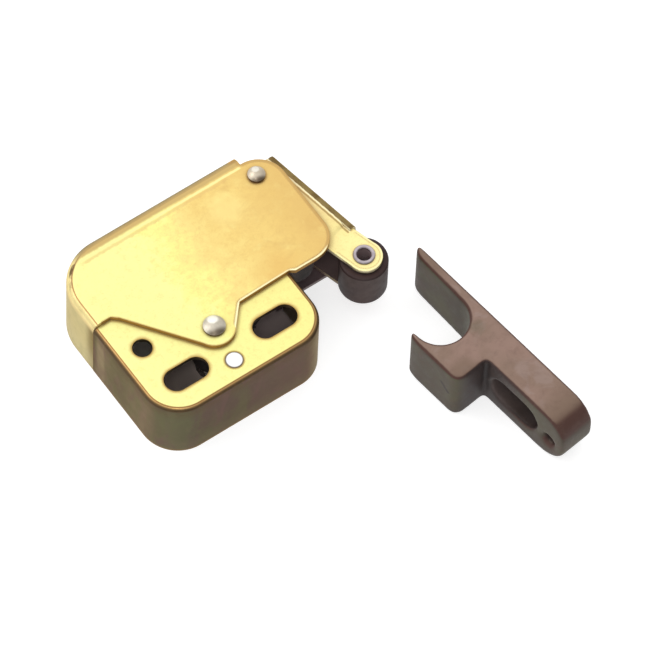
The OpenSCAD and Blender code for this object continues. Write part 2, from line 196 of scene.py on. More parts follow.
def top_film(p, stops, lo, hi, lean, wobble=0.010):
    """Colour of the flat faces: passivation film that drifts from pale yellow to gold; the drift along lean is partly
    the film's tone and partly painted light fall-off, paler where the light is stronger.
    """
    big = p.noise(60, 3, 0.55, 0.5)
    mid = p.noise(330, 4, 0.6, 0.3)
    small = p.noise(1150, 4, 0.62, 0.2)
    grain = p.noise(4200, 3, 0.65)
    g = p.along(lean[0], lean[1], 0)
    g = p.calc("ADD", g, p.calc("MULTIPLY", p.calc("SUBTRACT", big, 0.5), wobble * 2.2))
    g = p.calc("ADD", g, p.calc("MULTIPLY", p.calc("SUBTRACT", mid, 0.5), wobble))
    g = p.calc("ADD", g, p.calc("MULTIPLY", p.calc("SUBTRACT", small, 0.5), wobble * 0.55))
    col = p.ramp(p.span(g, lo, hi, 0, 1, False), stops)
    col = p.mix(p.span(small, 0.46, 0.80, 0.0, 0.26), col, srgb(222, 186, 108))
    col = p.mix(p.span(mid, 0.52, 0.80, 0.0, 0.32), col, srgb(254, 246, 166))
    col = p.mix(p.span(grain, 0.50, 0.80, 0.0, 0.22), col, srgb(190, 154, 92))
    h = p.calc("ADD", p.calc("MULTIPLY", grain, 0.5), p.calc("MULTIPLY", small, 0.7))
    return col, h, mid, small, grain


def finish_zinc(p, col, h, mid, metal=0.7, halo=0.6, reach=0.8, cave=CAVE, shade=(0.50, 0.26)):
    """Painted shade in concave corners and inside the case, satin gloss."""
    # painted shade: brown where a corner or step shades the surface
    near = p.crevice(reach * MM)
    col = p.mix(p.span(near, 0.97, 0.62, 0.0, halo), col, CREVICE_SHADE)
    # painted shade: the inside of the case takes the cave colour and loses its metal sheen
    deep = p.crevice(11 * MM)
    dark = p.span(deep, shade[0], shade[1], 0.0, 1.0)
    col = p.mix(dark, col, cave)
    p.bump(h, 0.14, 0.00005)
    rough = p.span(mid, 0.25, 0.75, 0.30, 0.45, False)
    p.put(p.b.inputs["Metallic"], p.span(dark, 0.0, 1.0, metal, 0.0, False))
    p.b.inputs["Specular Tint"].default_value = (0.55, 0.45, 0.28, 1.0)
    return p.out(col, rough, None)


def cover_look():
    p = Paint("zinc_cover")
    x, y, z = p.xyz()[:3]
    col, h, mid, small, grain = top_film(
        p, [(0.0, srgb(246, 243, 162)), (0.20, srgb(245, 239, 148)), (0.46, srgb(242, 218, 138)),
            (0.66, srgb(236, 205, 126)), (1.0, srgb(228, 194, 120))],
        -0.003, 0.021, (1.0, -0.12), 0.0125)
    smudge = p.noise(190, 4, 0.6, 0.8)
    col = p.mix(p.both(p.span(smudge, 0.52, 0.72, 0.0, 0.34), p.span(x, 2 * MM, 14 * MM)), col, srgb(212, 172, 104))
    # golden towards the front and right, paler below the pivot, darker gold at the right end: partly the film's tone,
    # partly painted light fall-off across the top
    drift = p.calc("MULTIPLY", p.calc("SUBTRACT", mid, 0.5), 5 * MM)
    low = p.calc("ADD", p.away(15.5 * MM, 8.0 * MM), drift)
    pale_ = p.calc("ADD", p.away(15.0 * MM, 23.2 * MM), drift)
    col = p.mix(p.span(low, 6.5 * MM, 1.5 * MM, 0.0, 0.55), col, srgb(226, 184, 108))
    col = p.mix(p.span(pale_, 5 * MM, 1 * MM, 0.0, 0.5), col, srgb(248, 228, 150))
    col = p.mix(p.span(x, 18.5 * MM, 23 * MM, 0.0, 0.3), col, srgb(218, 178, 106))
    up = p.facing((0, 0, 1))
    left = p.span(p.facing((-1, 0, 0)), 0.05, 0.6)
    # how far a bend turns to the back (1) or to the left (-1)
    tilt = p.calc("SQRT", p.calc("MAXIMUM", p.calc("SUBTRACT", 1.0, p.calc("MULTIPLY", up, up)), 0.003))
    turn = p.calc("DIVIDE", p.facing((1, 1, 0)), tilt)
    back = p.span(turn, 0.15, 0.75)
    # soft darker line along the back edge
    rim_y = p.calc("ADD", y, p.calc("MULTIPLY", p.calc("SUBTRACT", small, 0.5), 0.8 * MM))
    col = p.mix(p.both(p.band(rim_y, 27.9 * MM, 28.3 * MM, 28.5 * MM, 28.9 * MM, 0.5), p.span(x, 21 * MM, 18 * MM),
                       p.span(x, -13.5 * MM, -11 * MM)), col, srgb(222, 184, 116))
    # painted highlight: a pale line where the top meets the back bend, with painted shade beyond it
    beside = p.span(x, 22.4 * MM, 21.8 * MM)
    edge_y = p.calc("ADD", y, p.calc("MULTIPLY", p.calc("SUBTRACT", small, 0.5), 0.25 * MM))
    col = p.mix(p.both(p.band(edge_y, 28.7 * MM, 28.9 * MM, 29.2 * MM, 29.4 * MM), beside), col, srgb(248, 234, 160))
    col = p.mix(p.both(p.span(edge_y, 29.25 * MM, 29.8 * MM), beside), col, srgb(204, 174, 112))
    # the bend: painted reflections set by how far it turns, a pale line and an olive band at the back, a brown line and
    # a cream band at the left, and dark brown streaks round the corner
    bend_back = p.ramp(p.span(up, 0, 1, 0, 1, False),
                       [(0.0, srgb(98, 88, 66)), (0.42, srgb(92, 82, 60)), (0.60, srgb(122, 112, 86)),
                        (0.78, srgb(164, 148, 110)), (0.92, srgb(182, 156, 106)), (0.98, srgb(190, 160, 104))])
    bend_left = p.ramp(p.span(up, 0, 1, 0, 1, False),
                       [(0.0, srgb(204, 186, 134)), (0.16, srgb(224, 202, 146)), (0.40, srgb(234, 214, 152)),
                        (0.70, srgb(240, 222, 156)), (0.87, srgb(238, 214, 148)), (0.915, srgb(160, 126, 82)),
                        (0.945, srgb(164, 128, 82)), (0.972, srgb(238, 226, 150))])
    bend = p.mix(back, bend_left, bend_back)
    wave = p.calc("ADD", turn, p.calc("MULTIPLY", p.calc("SUBTRACT", small, 0.5), 0.6))
    streak = p.calc("MAXIMUM", p.band(wave, -0.25, -0.08, 0.10, 0.30, 0.9), p.band(wave, -0.62, -0.5, -0.44, -0.3, 0.4))
    fold = p.calc("ADD", up, p.calc("MULTIPLY", p.calc("SUBTRACT", mid, 0.5), 0.25))
    bend = p.mix(p.both(streak, p.band(fold, 0.62, 0.76, 0.88, 0.96)), bend, srgb(84, 60, 40))
    bend = p.mix(p.span(mid, 0.4, 0.75, 0.0, 0.25), bend, srgb(150, 126, 84))
    col = p.mix(p.span(up, 0.978, 0.996), bend, col)
    # left skirt and back-facing walls: painted light and shade, paler at the top and bottom, darker towards the seam
    # and olive-dark on the back-facing walls
    skirt = p.mix(p.span(y, 19.5 * MM, 16.8 * MM), srgb(204, 192, 144), srgb(132, 116, 80))
    skirt = p.mix(p.span(z, 9 * MM, 1 * MM, 0.0, 0.5), skirt, srgb(212, 204, 166))
    skirt = p.mix(p.span(z, 12.6 * MM, 14 * MM, 0.0, 0.8), skirt, srgb(234, 212, 156))
    skirt = p.mix(p.span(mid, 0.45, 0.7, 0.0, 0.35), skirt, srgb(172, 166, 122))
    wall = p.mix(back, skirt, srgb(112, 94, 58))
    col = p.mix(p.span(up, 0.30, 0.12), col, wall)
    # sheared free edges: painted shade makes their bevel and front faces brown, a painted highlight makes a pale line
    # on the bevels facing right, palest near the tab
    free = p.both(p.calc("MAXIMUM", p.span(y, 17.5 * MM, 17.2 * MM), p.span(x, 20.6 * MM, 21.2 * MM)),
                  p.span(x, -16.4 * MM, -16.2 * MM), p.span(z, 14.2 * MM, 14.32 * MM))
    round_ = p.both(free, p.span(up, 0.985, 0.90))
    col = p.mix(round_, col, srgb(178, 140, 84))
    col = p.mix(p.both(free, p.span(up, 0.6, 0.25)), col, srgb(168, 130, 78))
    pale = p.mix(p.span(x, 4.6 * MM, 5.4 * MM), srgb(252, 238, 190), srgb(212, 180, 124))
    col = p.mix(p.both(round_, p.span(p.facing((0.94, 0.34, 0)), 0.12, 0.42)), col, pale)
    # painted shade: a brown line on the flat just inside the free edges, and a wider one near the right edge; at the
    # tab a painted highlight line with a line of painted shade inside it
    edge = p.both(free, p.span(p.crevice(0.42 * MM, inside=True, local=True), 0.96, 0.68, 0.0, 0.75))
    flat = p.span(up, 0.96, 0.99)
    tab = p.both(p.span(x, 2.6 * MM, 3.0 * MM), p.span(y, 7.4 * MM, 6.6 * MM))
    col = p.mix(p.both(edge, flat, p.less(tab)), col, srgb(182, 142, 80))
    wide = p.crevice(0.8 * MM, inside=True, local=True)
    col = p.mix(p.both(flat, p.span(x, 19 * MM, 22 * MM), p.band(wide, 0.55, 0.72, 0.86, 0.985, 0.6)), col, srgb(178, 140, 88))
    col = p.mix(p.both(flat, tab, p.span(wide, 0.84, 0.74)), col, srgb(255, 246, 196))
    col = p.mix(p.both(flat, tab, p.band(wide, 0.80, 0.86, 0.92, 0.98, 0.8)), col, srgb(176, 138, 84))
    # painted shade: faces turned down take the cave colour
    col = p.mix(p.span(up, -0.2, -0.7), col, CAVE)
    return finish_zinc(p, col, h, mid, 0.7, 0.5, 0.8, CAVE, (0.36, 0.18))


def base_look():
    p = Paint("zinc_base")
    x, y, z = p.xyz()[:3]
    col, h, mid, small, grain = top_film(
        p, [(0.0, srgb(248, 245, 166)), (0.5, srgb(247, 241, 156)), (0.8, srgb(246, 236, 150)),
            (1.0, srgb(245, 228, 140))],
        -0.02, 0.026, (0.9, 0.5), 0.009)
    up = p.facing((0, 0, 1))
    left = p.span(p.facing((-1, 0, 0)), 0.2, 0.8)
    right = p.span(p.facing((1, 0, 0)), 0.1, 0.8)
    # the bend: painted reflections set by how far it turns, a brown line and a pale tan line down to the dark wall
    bend = p.ramp(p.span(up, 0, 1, 0, 1, False),
                  [(0.0, srgb(84, 68, 52)), (0.36, srgb(86, 70, 52)), (0.52, srgb(86, 70, 52)),
                   (0.64, srgb(92, 76, 56)), (0.76, srgb(112, 90, 62)), (0.84, srgb(150, 118, 76)),
                   (0.90, srgb(196, 158, 102)), (0.95, srgb(140, 102, 60)), (0.98, srgb(168, 128, 76))])
    bend = p.mix(p.span(small, 0.5, 0.75, 0.0, 0.3), bend, srgb(140, 104, 64))
    col = p.mix(p.span(up, 0.978, 0.995), bend, col)
    # walls: dark brown from painted shade, with random iridescent tints of the film; painted light and shade by facing,
    # height and place: lighter facing right, near the floor and in a band beside the seam, darker near the top, at the
    # seam, at the front-left corner and towards the front right
    hue = p.noise(1, 3, 0.55, 0.5, co=p.stretch(170, 170, 60))
    slant = p.noise(1, 3, 0.6, 0.8, co=p.stretch(240, 240, 110, 0.0))
    front = p.mix(p.span(hue, 0.36, 0.62), srgb(88, 85, 70), srgb(88, 74, 72))
    front = p.mix(p.span(x, -10 * MM, 14 * MM, 0.0, 0.6), front, srgb(100, 82, 78))
    side = p.mix(p.span(hue, 0.34, 0.60), srgb(102, 99, 76), srgb(118, 101, 88))
    side = p.mix(p.band(y, 4 * MM, 7 * MM, 10 * MM, 13 * MM, 0.7), side, srgb(88, 88, 66))
    side = p.mix(p.band(y, 12.6 * MM, 13.6 * MM, 14.8 * MM, 15.8 * MM, 0.6), side, srgb(150, 134, 110))
    side = p.mix(p.span(y, 15.4 * MM, 16.4 * MM, 0.0, 0.85), side, srgb(74, 60, 42))
    wall = p.mix(left, front, side)
    wall = p.mix(p.span(p.facing((-0.71, -0.71, 0)), 0.78, 0.97, 0.0, 0.75), wall, srgb(88, 88, 68))
    wall = p.mix(right, wall, srgb(142, 130, 106))
    wall = p.mix(p.span(z, 5 * MM, 0.5 * MM, 0.0, 0.35), wall, srgb(118, 108, 90))
    wall = p.mix(p.span(z, 10.5 * MM, 13.2 * MM, 0.0, 0.45), wall, srgb(84, 68, 52))
    wall = p.mix(p.span(slant, 0.50, 0.72, 0.0, 0.5), wall, srgb(104, 78, 82))
    wall = p.mix(p.span(slant, 0.46, 0.28, 0.0, 0.4), wall, srgb(94, 96, 70))
    wall = p.mix(p.span(mid, 0.55, 0.8, 0.0, 0.3), wall, srgb(128, 114, 92))
    col = p.mix(p.span(up, 0.46, 0.30), col, wall)
    # painted shade round the slots and the round hole, a brown line of painted shade on their edges, and a painted
    # highlight on the slot walls that face back
    ax = p.calc("MAXIMUM", p.calc("SUBTRACT", p.calc("ABSOLUTE", p.calc("SUBTRACT", p.calc("ABSOLUTE", x), 9.5 * MM)),
                                  2.1 * MM), 0.0)
    ds = p.calc("SQRT", p.calc("ADD", p.calc("MULTIPLY", ax, ax), p.calc("MULTIPLY", y, y)))
    ds = p.calc("ADD", ds, p.calc("MULTIPLY", p.calc("SUBTRACT", mid, 0.5), 0.9 * MM))
    dh = p.calc("ADD", p.away(-12.95 * MM, 8.7 * MM), p.calc("MULTIPLY", p.calc("SUBTRACT", mid, 0.5), 0.8 * MM))
    halo = p.calc("MAXIMUM", p.band(ds, 2.2 * MM, 2.4 * MM, 2.5 * MM, 3.1 * MM), p.band(dh, 1.7 * MM, 1.9 * MM, 2.0 * MM, 2.6 * MM))
    col = p.mix(p.both(halo, p.span(up, 0.98, 0.995, 0.0, 0.5)), col, srgb(204, 168, 104))
    slots = p.both(p.span(x, -17 * MM, -16 * MM), p.span(y, -5.3 * MM, -4.9 * MM), p.span(x, 16 * MM, 15.6 * MM),
                   p.span(z, 13.2 * MM, 13.4 * MM), p.span(y, 11.2 * MM, 10.9 * MM))
    rim = p.both(slots, p.span(p.crevice(0.45 * MM, inside=True, local=True), 0.96, 0.70, 0.0, 0.8))
    lit = p.span(p.facing((-0.35, 0.94, 0)), 0.05, 0.3)
    col = p.mix(p.both(rim, p.span(up, 0.30, 0.6)), col, srgb(172, 134, 70))
    col = p.mix(p.both(slots, p.band(up, 0.15, 0.35, 0.90, 0.985), lit), col, srgb(248, 226, 150))
    # painted shade: faces turned down take the cave colour
    col = p.mix(p.span(up, -0.2, -0.7), col, CAVE)
    return finish_zinc(p, col, h, mid, 0.7, 0.5, 0.8, CAVE, (0.42, 0.22))


ARM_AT = (23.6 * MM, 26.1 * MM)
ARM_TURN = math.radians(16.4)
TIP_TOP = 13.85 * MM
arm_x = (math.cos(ARM_TURN), math.sin(ARM_TURN))
arm_y = (-math.sin(ARM_TURN), math.cos(ARM_TURN))
ROLL_AT = (ARM_AT[0] + 24.6 * MM * math.sin(ARM_TURN), ARM_AT[1] - 24.6 * MM * math.cos(ARM_TURN))


def arm_look():
    p = Paint("zinc_arm")
    x, y, z = p.xyz()[:3]
    u = p.along(arm_x[0], arm_x[1], 0, -(ARM_AT[0] * arm_x[0] + ARM_AT[1] * arm_x[1]))
    v = p.along(arm_y[0], arm_y[1], 0, -(ARM_AT[0] * arm_y[0] + ARM_AT[1] * arm_y[1]))
    col, h, mid, small, grain = top_film(
        p, [(0.0, srgb(252, 240, 168)), (0.22, srgb(249, 231, 158)), (0.45, srgb(238, 213, 154)),
            (1.0, srgb(216, 188, 130))],
        -0.001, 0.030, (-0.2, 1.0), 0.006)
    up = p.facing((0, 0, 1))
    out = p.span(p.facing((arm_x[0], arm_x[1], 0)), 0.05, 0.3)
    # painted reflections on the web's outer bend: olive and brown bands and a pale line, set by how far it turns
    bend = p.ramp(p.span(up, 0, 1, 0, 1, False),
                  [(0.0, srgb(96, 80, 48)), (0.30, srgb(128, 108, 66)), (0.46, srgb(96, 76, 44)),
                   (0.64, srgb(140, 118, 72)), (0.84, srgb(134, 110, 66)), (0.93, srgb(246, 228, 172)),
                   (0.98, srgb(224, 192, 128))])
    col = p.mix(p.both(p.span(up, 0.992, 0.975), out), col, bend)
    # painted reflections laid out by distance from the web: an olive band, a cream line and a brown line on the leaf
    # beside the bend
    inset = p.calc("SUBTRACT", p.calc("ADD", p.calc("MULTIPLY", v, 0.102), 5.77 * MM), u)
    ridge = p.both(p.span(v, -19.75 * MM, -19.6 * MM), p.span(z, 12.8 * MM, 13.0 * MM), p.span(up, 0.1, 0.3))
    rough_in = p.calc("ADD", inset, p.calc("MULTIPLY", p.calc("SUBTRACT", small, 0.5), 0.25 * MM))
    col = p.mix(p.both(ridge, p.span(rough_in, 1.55 * MM, 1.35 * MM)), col,
                p.mix(p.span(mid, 0.4, 0.65), srgb(140, 120, 76), srgb(112, 92, 56)))
    col = p.mix(p.both(ridge, p.band(rough_in, 1.35 * MM, 1.48 * MM, 1.62 * MM, 1.75 * MM)), col, srgb(252, 240, 196))
    col = p.mix(p.both(ridge, p.band(rough_in, 1.70 * MM, 1.85 * MM, 2.0 * MM, 2.25 * MM, 0.8)), col, srgb(160, 126, 74))
    # painted highlight round the edge of the leaf's tip at the roller, with a line of painted shade just inside it
    rim = p.crevice(0.8 * MM, inside=True, local=True)
    tip = p.both(p.span(v, -20.2 * MM, -20.8 * MM), p.span(z, 12.8 * MM, 13.0 * MM), p.span(up, 0.9, 0.98),
                 p.span(p.away(ROLL_AT[0], ROLL_AT[1]), 2.3 * MM, 2.5 * MM))
    col = p.mix(p.both(tip, p.span(rim, 0.80, 0.68, 0.0, 0.9)), col, srgb(255, 246, 190))
    col = p.mix(p.both(tip, p.band(rim, 0.78, 0.86, 0.92, 0.985, 0.55)), col, srgb(186, 150, 92))
    # painted highlight on the sheared edges of the upper leaf
    cut = p.both(p.span(z, 12.8 * MM, 13.0 * MM), p.span(up, 0.7, 0.3), p.less(out))
    col = p.mix(cut, col, srgb(255, 246, 206))
    # painted shade on the outer face of the web
    web = p.mix(p.span(mid, 0.35, 0.75), srgb(136, 116, 74), srgb(118, 98, 62))
    col = p.mix(p.both(p.span(up, 0.25, 0.05), p.span(z, 13.4 * MM, 12.9 * MM)), col, web)
    # the lower leaf lies in the shade of the case
    col = p.mix(p.both(p.span(z, 6 * MM, 4 * MM), p.span(up, 0.5, 0.8)), col, srgb(94, 80, 80))
    # painted shade: faces turned down take the cave colour
    col = p.mix(p.span(up, -0.2, -0.7), col, CAVE)
    return finish_zinc(p, col, h, mid, 0.7, 0.5, 1.4, srgb(118, 100, 98), (0.56, 0.32))


def plate_look():
    p = Paint("zinc_floor")
    col, h, mid, small, grain = top_film(
        p, [(0.0, srgb(236, 212, 132)), (0.5, srgb(228, 200, 122)), (1.0, srgb(214, 182, 110))],
        -0.02, 0.03, (0.9, 0.5))
    up = p.facing((0, 0, 1))
    x = p.xyz()[0]
    # painted shade: all but the underside is dark brown; the top is set again below
    col = p.mix(p.span(up, -0.6, -0.1), col, srgb(82, 68, 60))
    y = p.xyz()[1]
    # where the plate shows beside the case its top and edges are painted dark mauve (painted shade); further in, the
    # top is painted light grey, lightest towards the back, so it shows through the slots as a lit surface (painted
    # light); finish_zinc also uses this colour for the shaded inside
    out = p.calc("MAXIMUM", p.span(x, 16.0 * MM, 17.5 * MM), p.both(p.span(y, 7.2 * MM, 7.8 * MM), p.span(x, 15.2 * MM, 15.8 * MM)))
    inner = p.mix(p.span(x, 8.0 * MM, 4.0 * MM), srgb(184, 168, 165), srgb(208, 192, 182))
    inner = p.mix(p.span(y, 9 * MM, 12 * MM), inner, srgb(255, 248, 236))
    inner = p.mix(out, inner, srgb(104, 90, 92))
    col = p.mix(out, col, srgb(104, 90, 92))
    col = p.mix(p.both(p.span(up, 0.8, 0.9), p.less(out)), col, inner)
    return finish_zinc(p, col, h, mid, 0.65, 0.3, 0.8, inner, (0.75, 0.5))


def steel(name, tone, dark, rough=(0.24, 0.42), metal=0.85, low=srgb(88, 76, 66), rim_shade=None,
          cave=srgb(96, 82, 82), dome=None):
    p = Paint(name)
    a = p.noise(900, 4, 0.6, 0.2)
    b = p.noise(5200, 3, 0.6)
    col = p.mix(p.span(a, 0.3, 0.75, 0.0, 0.6), tone, dark)
    col = p.mix(p.span(b, 0.6, 0.8, 0.0, 0.2), col, dark)
    up = p.facing((0, 0, 1))
    # painted shade: the sides of the heads are darker
    col = p.mix(p.span(up, 0.75, 0.1, 0.0, 0.9), col, low)
    if dome:
        # painted shade on the lower front side of a dome, painted highlight near its top
        col = p.mix(p.span(p.facing((-0.25, -0.96, 0.1)), dome[0], dome[1], 0.0, 0.85), col, low)
        col = p.mix(p.span(p.facing((0.1, 0.3, 0.95)), 0.94, 0.985, 0.0, dome[2]), col, srgb(255, 252, 240))
    if rim_shade:
        # centre, radius, colour: painted shade on the rim outside the radius, where the pin meets its hole
        d = p.away(*rim_shade[0])
        col = p.mix(p.span(d, rim_shade[1] - 0.12 * MM, rim_shade[1] + 0.12 * MM), col, rim_shade[2])
    # painted shade in the corners round the heads
    near = p.crevice(0.8 * MM)
    col = p.mix(p.span(near, 0.95, 0.6, 0.0, 0.6), col, srgb(84, 66, 48))
    # painted shade inside the case, where the metal also loses its sheen
    dark = p.span(p.crevice(6 * MM), 0.50, 0.30)
    col = p.mix(dark, col, cave)
    p.bump(p.calc("ADD", a, p.calc("MULTIPLY", b, 0.3)), 0.14, 0.00004)
    p.put(p.b.inputs["Metallic"], p.span(dark, 0.0, 1.0, metal, 0.0, False))
    return p.out(col, p.span(a, 0.2, 0.8, rough[0], rough[1], False), None)


def plastic(name, top, top2, side, side2, edge, deep, rough=(0.42, 0.58), grain=0.16, ring=False,
            shade=srgb(50, 40, 40)):
    p = Paint(name)
    big = p.noise(95, 3, 0.55, 0.7)
    mot = p.noise(620, 5, 0.65, 0.3)
    fine = p.noise(6500, 2, 0.6)
    up = p.facing((0, 0, 1))
    t = p.mix(p.span(big, 0.36, 0.64), top, top2)
    s = p.mix(p.span(big, 0.36, 0.64), side, side2)
    # tops and sides take their own colours; on the strike the darker sides are painted shade, and the rounded edges get
    # a band of painted shade
    col = p.mix(p.span(up, 0.2, 0.95), s, t)
    col = p.mix(p.band(up, 0.12, 0.40, 0.86, 0.99, 0.95), col, edge)
    if ring:
        patch = p.noise(240, 4, 0.6, 0.9)
        hue = p.noise(170, 3, 0.55, 1.2)
        level = p.span(up, 0.975, 0.998)
        col = p.mix(p.both(p.span(patch, 0.50, 0.72, 0.0, 0.4), level), col, srgb(122, 96, 84))
        col = p.mix(p.both(p.span(hue, 0.50, 0.66, 0.0, 0.5), level), col, srgb(150, 130, 122))
        col = p.mix(p.both(p.span(hue, 0.48, 0.34, 0.0, 0.4), p.span(up, 0.6, 0.2)), col, srgb(84, 62, 58))
        # a greenish bloom beside the jaw, and shade in the screw slot
        bloom = p.calc("ADD", p.away(39.0 * MM, -20.2 * MM), p.calc("MULTIPLY", p.calc("SUBTRACT", mot, 0.5), 5 * MM))
        col = p.mix(p.both(p.span(bloom, 2.2 * MM, 0.2 * MM, 0.0, 0.4), p.span(up, 0.6, 0.9)), col, srgb(92, 86, 66))
        lx = p.along(SX[0], SX[1], 0, -(42.1 * SX[0] - 14.1 * SX[1]) * MM)
        ly = p.along(-SX[1], SX[0], 0, (42.1 * SX[1] + 14.1 * SX[0]) * MM)
        zz = p.xyz()[2]
        # shade of the block on the flange, and of the screw slot
        lee = p.both(p.span(ly, -11.0 * MM, -11.7 * MM), p.span(up, 0.95, 0.75), p.span(lx, -0.3 * MM, -0.8 * MM),
                     p.calc("MAXIMUM", p.span(ly, -25 * MM, -14 * MM, 0.15, 0.9), p.span(lx, -7.4 * MM, -8.0 * MM)),
                     p.span(lx, -15.5 * MM, -10.5 * MM, 0.0, 1.0))
        col = p.mix(lee, col, srgb(56, 46, 45))
        # painted shade in the inner corner of the block and the flange
        nook = p.both(p.span(p.away(42.1 * MM + (-7.2 * SX[0] + 11.9 * SX[1]) * MM, -14.1 * MM + (-7.2 * SX[1] - 11.9 * SX[0]) * MM),
                             1.5 * MM, 0.5 * MM), p.span(up, 0.8, 0.5))
        col = p.mix(nook, col, srgb(30, 20, 20))
        # a shallow slit on the front of the block, painted dark inside (painted shade)
        a1 = p.calc("ADD", p.calc("MULTIPLY", p.calc("ADD", ly, 8.65 * MM), 0.74), p.calc("MULTIPLY", p.calc("SUBTRACT", zz, 7.1 * MM), 0.67))
        a2 = p.calc("ADD", p.calc("MULTIPLY", p.calc("ADD", ly, 8.65 * MM), -0.67), p.calc("MULTIPLY", p.calc("SUBTRACT", zz, 7.1 * MM), 0.74))
        slit = p.both(p.span(lx, -13.3 * MM, -13.6 * MM), p.span(p.calc("ABSOLUTE", a1), 1.7 * MM, 1.2 * MM))
        col = p.mix(p.both(slit, p.span(p.calc("ABSOLUTE", a2), 0.55 * MM, 0.2 * MM, 0.0, 0.85)), col, srgb(50, 38, 35))
        well = p.both(p.span(lx, -7.25 * MM, -6.9 * MM), p.span(lx, -0.1 * MM, -0.5 * MM),
                      p.span(ly, -26 * MM, -25.4 * MM), p.span(ly, -13 * MM, -13.5 * MM))
        pit = p.mix(p.span(ly, -20.5 * MM, -15 * MM), srgb(38, 30, 29), srgb(92, 80, 77))
        col = p.mix(p.both(well, p.band(zz, 2.6 * MM, 3 * MM, 9.9 * MM, 10.3 * MM, 0.9)), col, pit)
        # the leaf's tip, the inner corner of the block and the flange's end are darker on top
        tips = p.calc("MAXIMUM", p.span(ly, 2 * MM, 9 * MM), p.calc("MAXIMUM", p.span(ly, -22.5 * MM, -27.5 * MM),
                      p.both(p.span(lx, -8 * MM, -10.5 * MM), p.span(ly, -7.5 * MM, -9.8 * MM))))
        col = p.mix(p.both(tips, p.span(up, 0.8, 0.95, 0.0, 0.75)), col, srgb(118, 97, 82))
    col = p.mix(p.span(mot, 0.45, 0.8, 0.0, 0.3), col, deep)
    # painted shade in recesses and inside the case; the cam's lighter shade colour lifts it
    cave = p.crevice(7 * MM)
    col = p.mix(p.span(cave, 0.74, 0.40, 0.0, 0.85), col, shade)
    p.bump(p.calc("ADD", p.calc("MULTIPLY", mot, 0.7), p.calc("MULTIPLY", fine, 0.4)), grain, 0.00006)
    return p.out(col, p.span(mot, 0.2, 0.8, rough[0], rough[1], False), 0.0, 0.2)


steel_head = steel("steel_head", srgb(204, 192, 172), srgb(176, 162, 142), (0.30, 0.42), 0.9, srgb(84, 68, 52),
                   dome=(0.30, 0.62, 0.6))
steel_dome = steel("steel_dome", srgb(206, 198, 182), srgb(176, 168, 152), (0.32, 0.44), 0.9, srgb(84, 70, 54),
                   dome=(0.26, 0.54, 1.0))
steel_pin = steel("steel_pin", srgb(252, 252, 254), srgb(236, 238, 242), (0.3, 0.5), 0.3,
                  srgb(120, 108, 96), ((-0.9 * MM, -2.4 * MM), 1.44 * MM, srgb(142, 128, 110)))
steel_tube = steel("steel_tube", srgb(190, 180, 184), srgb(144, 134, 140), (0.22, 0.38), 0.85, srgb(84, 70, 72),
                   None, srgb(150, 130, 130))
steel_inner = steel("steel_inner", srgb(150, 146, 142), srgb(118, 114, 110))
steel_wire = steel("steel_wire", srgb(140, 140, 142), srgb(104, 104, 108), (0.2, 0.35))
roller_mat = plastic("roller_plastic", srgb(66, 48, 46), srgb(56, 40, 39), srgb(72, 55, 51),
                     srgb(60, 44, 43), srgb(46, 32, 31), srgb(42, 30, 29))
cam_mat = plastic("cam_plastic", srgb(54, 44, 42), srgb(46, 38, 37), srgb(46, 38, 36),
                  srgb(40, 33, 31), srgb(42, 34, 32), srgb(32, 27, 26), (0.6, 0.75), shade=srgb(112, 100, 96))
strike_mat = plastic("strike_plastic", srgb(144, 118, 106), srgb(134, 111, 97), srgb(76, 71, 50),
                     srgb(70, 60, 48), srgb(77, 50, 43), srgb(98, 78, 70), ring=True, shade=srgb(62, 53, 51))

LOOKS = {
    "cover": cover_look(), "base_shell": base_look(), "floor_plate": plate_look(), "arm": arm_look(),
    "pivot_rivet": steel_head, "cam_rivet": steel_dome, "spacer_post": steel_pin,
    "roller_rivet": steel_tube, "roller_washers": steel_inner, "pivot_sleeve": steel_inner,
    "pivot_washer": steel_inner, "cam_sleeve": steel_inner, "cam_washer": steel_inner,
    "catch_pin": steel_inner, "arm_spring": steel_wire, "cam_spring": steel_wire,
    "roller": roller_mat, "latch_cam": cam_mat, "strike": strike_mat,
}
for name, mat in LOOKS.items():
    o = nodes[name]
    if not o.material_slots:
        o.data.materials.append(mat)
    for s in o.material_slots:
        s.material = mat


# ---------------------------------------------------------------- pressed sheet with rolled edges
def baked(o):
    dg = bpy.context.evaluated_depsgraph_get()
    done = bpy.data.meshes.new_from_object(o.evaluated_get(dg), depsgraph=dg)
    o.modifiers.clear()
    o.data = done
    return done


def run_out(v):
    """Lower the inner side of the arm's upper bend onto the leaf where the leaf steps down."""
    dx, dy = v.co.x - ARM_AT[0], v.co.y - ARM_AT[1]
    a = dx * arm_x[0] + dy * arm_x[1]
    b = dx * arm_y[0] + dy * arm_y[1]
    inset = 5.77 * MM + 0.102 * b - a
    if b < -17.9 * MM and inset > 1.35 * MM and v.co.z > TIP_TOP + 0.02 * MM:
        v.co.z = TIP_TOP


